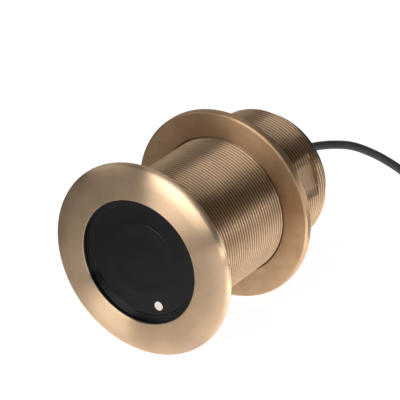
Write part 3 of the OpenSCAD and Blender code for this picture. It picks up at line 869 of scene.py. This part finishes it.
# Its way from the coil's top turn to the plug: x and y from the coil's middle in millimetres, and percent
# of the rise
TAIL_WAY = [(12, 53, 13), (24, 48.5, 32), (34, 41, 50), (42, 31, 67), (47, 19, 79), (49, 7, 90),
            (49, -5, 97), (48, -16, 100), (44, -26.5, 100), (36.5, -35.5, 100), (26.5, -41, 100),
            (19, -42, 100)]
POINTS_PER_TURN = 20
# Share of a turn after which it steps to the next one
STEP_FROM = 0.75


def ease(share):
    """Smooth step from 0 to 1: three times the square less twice the cube."""
    share = np.clip(share, 0, 1)
    return share * share * (3 - 2 * share)


def coil_points(settings, centre, low_turn):
    """Turns of the coil, clockwise from above, layer on layer.

    A turn lies at one radius for three quarters and steps to the next radius, or up to the next layer, in
    the last quarter. Rows run inwards on one layer and outwards on the next.
    """
    rows, layers = settings.rows, settings.layers
    count = rows * layers
    inner = settings.coil_radius - (rows - 1) / 2 * settings.turn_pitch
    order = np.arange(count)
    layer = order // rows
    place = order % rows
    place = np.where(layer % 2 == 0, rows - 1 - place, place)
    radii = inner + np.append(place, place[-1]) * settings.turn_pitch
    heights = low_turn + np.append(layer, layer[-1]) * settings.turn_pitch
    step = np.arange(count * POINTS_PER_TURN + 1)
    turn = np.minimum(step // POINTS_PER_TURN, count - 1)
    share = ease((step / POINTS_PER_TURN - turn - STEP_FROM) / (1 - STEP_FROM))
    radius = radii[turn] + share * (radii[turn + 1] - radii[turn])
    height = heights[turn] + share * (heights[turn + 1] - heights[turn])
    angle = 2 * math.pi * step / POINTS_PER_TURN
    x = centre[0] + radius * np.sin(angle)
    y = centre[1] + radius * np.cos(angle)
    return np.stack([x, y, height], axis=1)


def cable_points(settings):
    """The whole cable: its way to the coil, the coil's turns, and the way to the plug."""
    outer = settings.coil_radius + (settings.rows - 1) / 2 * settings.turn_pitch
    centre = (COIL_JOIN[0], COIL_JOIN[1] - outer)
    low_turn = FLOOR_Z + TIE_THICKNESS + settings.diameter / 2
    way = np.array(CABLE_WAY, dtype=float)
    lead = np.stack([way[:, 0] * MM, BOOT_END + way[:, 1] * MM, way[:, 2] / 100 * low_turn], axis=1)
    coil = coil_points(settings, centre, low_turn)
    top_turn = coil[-1, 2]
    way = np.array(TAIL_WAY, dtype=float)
    rise = top_turn + way[:, 2] / 100 * (PLUG_REAR[2] - top_turn)
    tail = np.stack([centre[0] + way[:, 0] * MM, centre[1] + way[:, 1] * MM, rise], axis=1)
    end = np.array([PLUG_REAR, (PLUG_REAR[0] - PLUG_HOLE, PLUG_REAR[1], PLUG_REAR[2])])
    return np.concatenate([lead, coil, tail, end])


class TRANSDUCER_OT_cable(bpy.types.Operator):
    """Black cable from the strain relief through its coil to the plug"""

    bl_idname = "transducer.cable"
    bl_label = "Cable"

    def execute(self, context):
        settings = context.scene.transducer_cable
        points = cable_points(settings)
        curve = bpy.data.curves.new("cable_run", "CURVE")
        curve.dimensions = "3D"
        curve.bevel_depth = settings.diameter / 2
        curve.bevel_resolution = 4
        curve.resolution_u = 4
        curve.use_fill_caps = True
        spline = curve.splines.new("BEZIER")
        spline.bezier_points.add(len(points) - 1)
        spline.bezier_points.foreach_set("co", points.reshape(-1))
        for point in spline.bezier_points:
            point.handle_left_type = "AUTO"
            point.handle_right_type = "AUTO"
        jacket = moulding_material("cable jacket", settings.jacket_black, rough=(0.36, 0.50),
                                   Grain_Scale=1800.0)
        curve.materials.append(jacket)
        piece = bpy.data.objects.new("cable_run", curve)
        context.scene.collection.objects.link(piece)
        settle(piece, "root", "cable_jacket", "cable", "cable_coil", "cable_tail")
        return {"FINISHED"}


# Finishes of the CAD solids that show as they are, and of those inside

# Colour, least and most roughness, and how metallic
FINISHES = {
    "rear_cap": ((0.015, 0.015, 0.017, 1.0), (0.42, 0.55), 0.0),
    "cable_boot": ((0.017, 0.017, 0.018, 1.0), (0.40, 0.54), 0.0),
    "plug_body": ((0.016, 0.016, 0.018, 1.0), (0.38, 0.52), 0.0),
    "plug_insert": ((0.09, 0.09, 0.095, 1.0), (0.40, 0.55), 0.0),
    "plug_contacts": ((0.72, 0.52, 0.22, 1.0), (0.20, 0.30), 1.0),
    "coil_ties": ((0.05, 0.05, 0.052, 1.0), (0.70, 0.85), 0.0),
    "thermistor": ((0.02, 0.02, 0.022, 1.0), (0.30, 0.45), 0.0),
    "thermistor_leads": ((0.62, 0.60, 0.56, 1.0), (0.25, 0.40), 1.0),
    "matching_layer": ((0.30, 0.28, 0.22, 1.0), (0.35, 0.50), 0.0),
    "ceramic_element": ((0.70, 0.66, 0.55, 1.0), (0.35, 0.50), 0.0),
    "isolation_ring": ((0.42, 0.24, 0.12, 1.0), (0.75, 0.90), 0.0),
    "backing_block": ((0.36, 0.35, 0.32, 1.0), (0.70, 0.85), 0.0),
    "element_cup": ((0.05, 0.055, 0.06, 1.0), (0.45, 0.60), 0.0),
    "element_leads": ((0.45, 0.05, 0.03, 1.0), (0.35, 0.50), 0.0),
    "circuit_board": ((0.02, 0.13, 0.06, 1.0), (0.28, 0.42), 0.0),
    "transformer_core": ((0.08, 0.08, 0.085, 1.0), (0.55, 0.70), 0.0),
    "transformer_winding": ((0.55, 0.24, 0.10, 1.0), (0.25, 0.38), 1.0),
    "identity_chip": ((0.02, 0.02, 0.022, 1.0), (0.40, 0.55), 0.0),
    "potting_compound": ((0.025, 0.022, 0.02, 1.0), (0.25, 0.40), 0.0),
    "cable_cores": ((0.60, 0.60, 0.60, 1.0), (0.35, 0.50), 0.0),
}


class TRANSDUCER_OT_finishes(bpy.types.Operator):
    """Finishes of the rear cap, strain relief, plug and ties, and of everything inside the housing"""

    bl_idname = "transducer.finishes"
    bl_label = "Other finishes"

    def execute(self, context):
        for name, (colour, rough, metallic) in FINISHES.items():
            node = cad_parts[name]
            material = moulding_material(name.replace("_", " "), colour, rough, metallic=metallic)
            node.data.materials.clear()
            node.data.materials.append(material)
        return {"FINISHED"}


# Stage

# Each lamp's name, azimuth and elevation in degrees, distance, width and height, and brightness
LAMPS = (
    ("front low", -5, 9, 1.3, (0.82, 0.41), 5.4),
    ("front high", -5, 37, 1.3, (0.82, 0.87), 3.4),
    ("top", 180, 78, 1.6, (1.6, 1.2), 0.25),
    ("rear", 220, 22, 1.6, (1.4, 1.3), 0.5),
    ("left", -66, 24, 1.8, (1.9, 1.0), 0.66),
    ("low right", 118, 7.0, 1.2, (1.8, 0.2), 1.6),
    ("low front right", 65, 4.5, 1.2, (1.0, 0.17), 3.4),
)
LAMP_AIM = (0.0, 0.03, 0.0)
FLOOR_REACH = 8.0
FLOOR_GREY = 0.35
# What the camera sees on top of the lit grey, so that the floor is white
CAMERA_LIFT = 0.92
# The floor's glow in reflections is a product of ranges, each with its direction, two places and the shares
# there: dark at the left, a patch beside the part, fading far right, dark in front and brightest behind
FLOOR_GLOW = (
    ("right", -0.14, 0.05, 0.0, 0.5),
    ("right", 0.04, 0.12, 1.0, 1.9),
    ("right", 0.3, 0.55, 1.0, 0.25),
    ("diagonal", -0.28, -0.2, 0.05, 1.0),
    ("behind", -0.08, 0.04, 1.0, 2.7),
)


def add_softbox(name, azimuth, elevation, distance, size, brightness):
    """Rectangular lamp that looks at the part from an azimuth and an elevation.

    The azimuth is counted from the part's face towards +X. The lamp's power is pi times its brightness times
    its area, so it looks as bright as a white of that strength.
    """
    turn, lift = math.radians(azimuth), math.radians(elevation)
    level = math.cos(lift)
    outward = Vector((math.sin(turn) * level, -math.cos(turn) * level, math.sin(lift)))
    lamp = bpy.data.lights.new(name, "AREA")
    lamp.shape = "RECTANGLE"
    lamp.size, lamp.size_y = size
    lamp.energy = math.pi * brightness * size[0] * size[1]
    lamp_object = bpy.data.objects.new(name, lamp)
    lamp_object.location = Vector(LAMP_AIM) + distance * outward
    lamp_object.rotation_euler = (-outward).to_track_quat("-Z", "Y").to_euler()
    bpy.context.scene.collection.objects.link(lamp_object)


def floor_material():
    """Grey floor that takes the part's soft shadow, lifted to white for the camera.

    Reflections see a glow that changes over the floor, as the bright and dark parts of a studio do.
    """
    material, tree, shader = new_material("white floor")
    shader.inputs["Base Color"].default_value = (FLOOR_GREY, FLOOR_GREY, FLOOR_GREY, 1.0)
    shader.inputs["Roughness"].default_value = 1.0
    shader.inputs["Specular IOR Level"].default_value = 0.0
    path = tree.nodes.new("ShaderNodeLightPath")
    split = tree.nodes.new("ShaderNodeSeparateXYZ")
    tree.links.new(object_coordinates(tree), split.inputs[0])
    right, behind = split.outputs["X"], split.outputs["Y"]
    places = {"right": right, "behind": behind, "diagonal": add_math(tree, "ADD", right, behind)}
    glow = path.outputs["Is Glossy Ray"]
    for direction, start, end, start_share, end_share in FLOOR_GLOW:
        share = add_range(tree, places[direction], start, end, start_share, end_share)
        glow = add_math(tree, "MULTIPLY", glow, share)
    lift = add_math(tree, "MULTIPLY", path.outputs["Is Camera Ray"], CAMERA_LIFT)
    tree.links.new(add_math(tree, "ADD", lift, glow), shader.inputs["Emission Strength"])
    shader.inputs["Emission Color"].default_value = (1.0, 1.0, 1.0, 1.0)
    return material


def build_world(strength):
    """Even light all round, and plain white where the camera looks past the floor."""
    world = bpy.data.worlds.new("studio")
    bpy.context.scene.world = world
    world.use_nodes = True
    tree = world.node_tree
    background = tree.nodes["Background"]
    background.inputs["Color"].default_value = (1.0, 1.0, 1.0, 1.0)
    path = tree.nodes.new("ShaderNodeLightPath")
    level = add_range(tree, path.outputs["Is Camera Ray"], 0.0, 1.0, strength, 1.0)
    tree.links.new(level, background.inputs["Strength"])


class TRANSDUCER_OT_stage(bpy.types.Operator):
    """White floor, soft studio light and the camera"""

    bl_idname = "transducer.stage"
    bl_label = "Stage"

    def execute(self, context):
        settings = context.scene.transducer_stage
        corners = np.array([(-FLOOR_REACH, -FLOOR_REACH, FLOOR_Z), (FLOOR_REACH, -FLOOR_REACH, FLOOR_Z),
                            (FLOOR_REACH, FLOOR_REACH, FLOOR_Z), (-FLOOR_REACH, FLOOR_REACH, FLOOR_Z)])
        floor = mesh_piece("floor", corners, [(0, 1, 2, 3)], floor_material())
        build_world(settings.world_light)
        for lamp in LAMPS:
            add_softbox(*lamp)
        self.add_camera(context, settings)
        context.scene.view_settings.view_transform = "Standard"
        return {"FINISHED"}

    def add_camera(self, context, settings):
        """Camera from its angles, with the flange rim's middle at its pixel and depth."""
        azimuth, elevation = settings.azimuth, settings.elevation
        right = Vector((math.cos(azimuth), math.sin(azimuth), 0))
        level = math.cos(elevation)
        ahead = Vector((-math.sin(azimuth) * level, math.cos(azimuth) * level, -math.sin(elevation)))
        up = right.cross(ahead)
        camera = bpy.data.cameras.new("camera")
        camera.lens = settings.lens
        camera.sensor_width = 36.0
        focal = settings.lens / camera.sensor_width * IMAGE_SIZE
        across = (settings.rim_pixel[0] - IMAGE_SIZE / 2) / focal
        down = (settings.rim_pixel[1] - IMAGE_SIZE / 2) / focal
        rim = Vector((0, -RIM_ROUND, 0))
        place = rim - settings.distance * (across * right - down * up + ahead)
        camera.clip_start = 0.05
        camera.clip_end = 50.0
        camera_object = bpy.data.objects.new("camera", camera)
        turn = Matrix((right, up, -ahead)).transposed().to_4x4()
        camera_object.matrix_world = Matrix.Translation(place) @ turn
        context.scene.collection.objects.link(camera_object)
        context.scene.camera = camera_object


class TRANSDUCER_PT_panel(bpy.types.Panel):
    """Lists the pieces in the order in which they are built"""

    bl_idname = "TRANSDUCER_PT_panel"
    bl_label = "Sonar transducer"
    bl_space_type = "VIEW_3D"
    bl_region_type = "UI"
    bl_category = "Transducer"

    def draw(self, context):
        layout = self.layout
        for operator in OPERATORS:
            layout.operator(operator.bl_idname)
        for name in SETTINGS:
            settings = getattr(context.scene, name)
            for prop in settings.__annotations__:
                layout.prop(settings, prop)


OPERATORS = (TRANSDUCER_OT_housing, TRANSDUCER_OT_hull_nut, TRANSDUCER_OT_face, TRANSDUCER_OT_cable,
             TRANSDUCER_OT_finishes, TRANSDUCER_OT_stage)
SETTINGS = {"transducer_bronze": BronzeSettings, "transducer_face": FaceSettings,
            "transducer_cable": CableSettings, "transducer_stage": StageSettings}


def register():
    """Registers the settings, the operators and the panel."""
    for name, group in SETTINGS.items():
        bpy.utils.register_class(group)
        setattr(bpy.types.Scene, name, bpy.props.PointerProperty(type=group))
    for operator in OPERATORS:
        bpy.utils.register_class(operator)
    bpy.utils.register_class(TRANSDUCER_PT_panel)


def unregister():
    """Takes back what register added."""
    bpy.utils.unregister_class(TRANSDUCER_PT_panel)
    for operator in reversed(OPERATORS):
        bpy.utils.unregister_class(operator)
    for name, group in SETTINGS.items():
        delattr(bpy.types.Scene, name)
        bpy.utils.unregister_class(group)


def main():
    """Builds every piece and the stage."""
    register()
    bpy.ops.transducer.housing()
    bpy.ops.transducer.hull_nut()
    bpy.ops.transducer.face()
    bpy.ops.transducer.cable()
    bpy.ops.transducer.finishes()
    bpy.ops.transducer.stage()


if __name__ == "__main__":
    main()
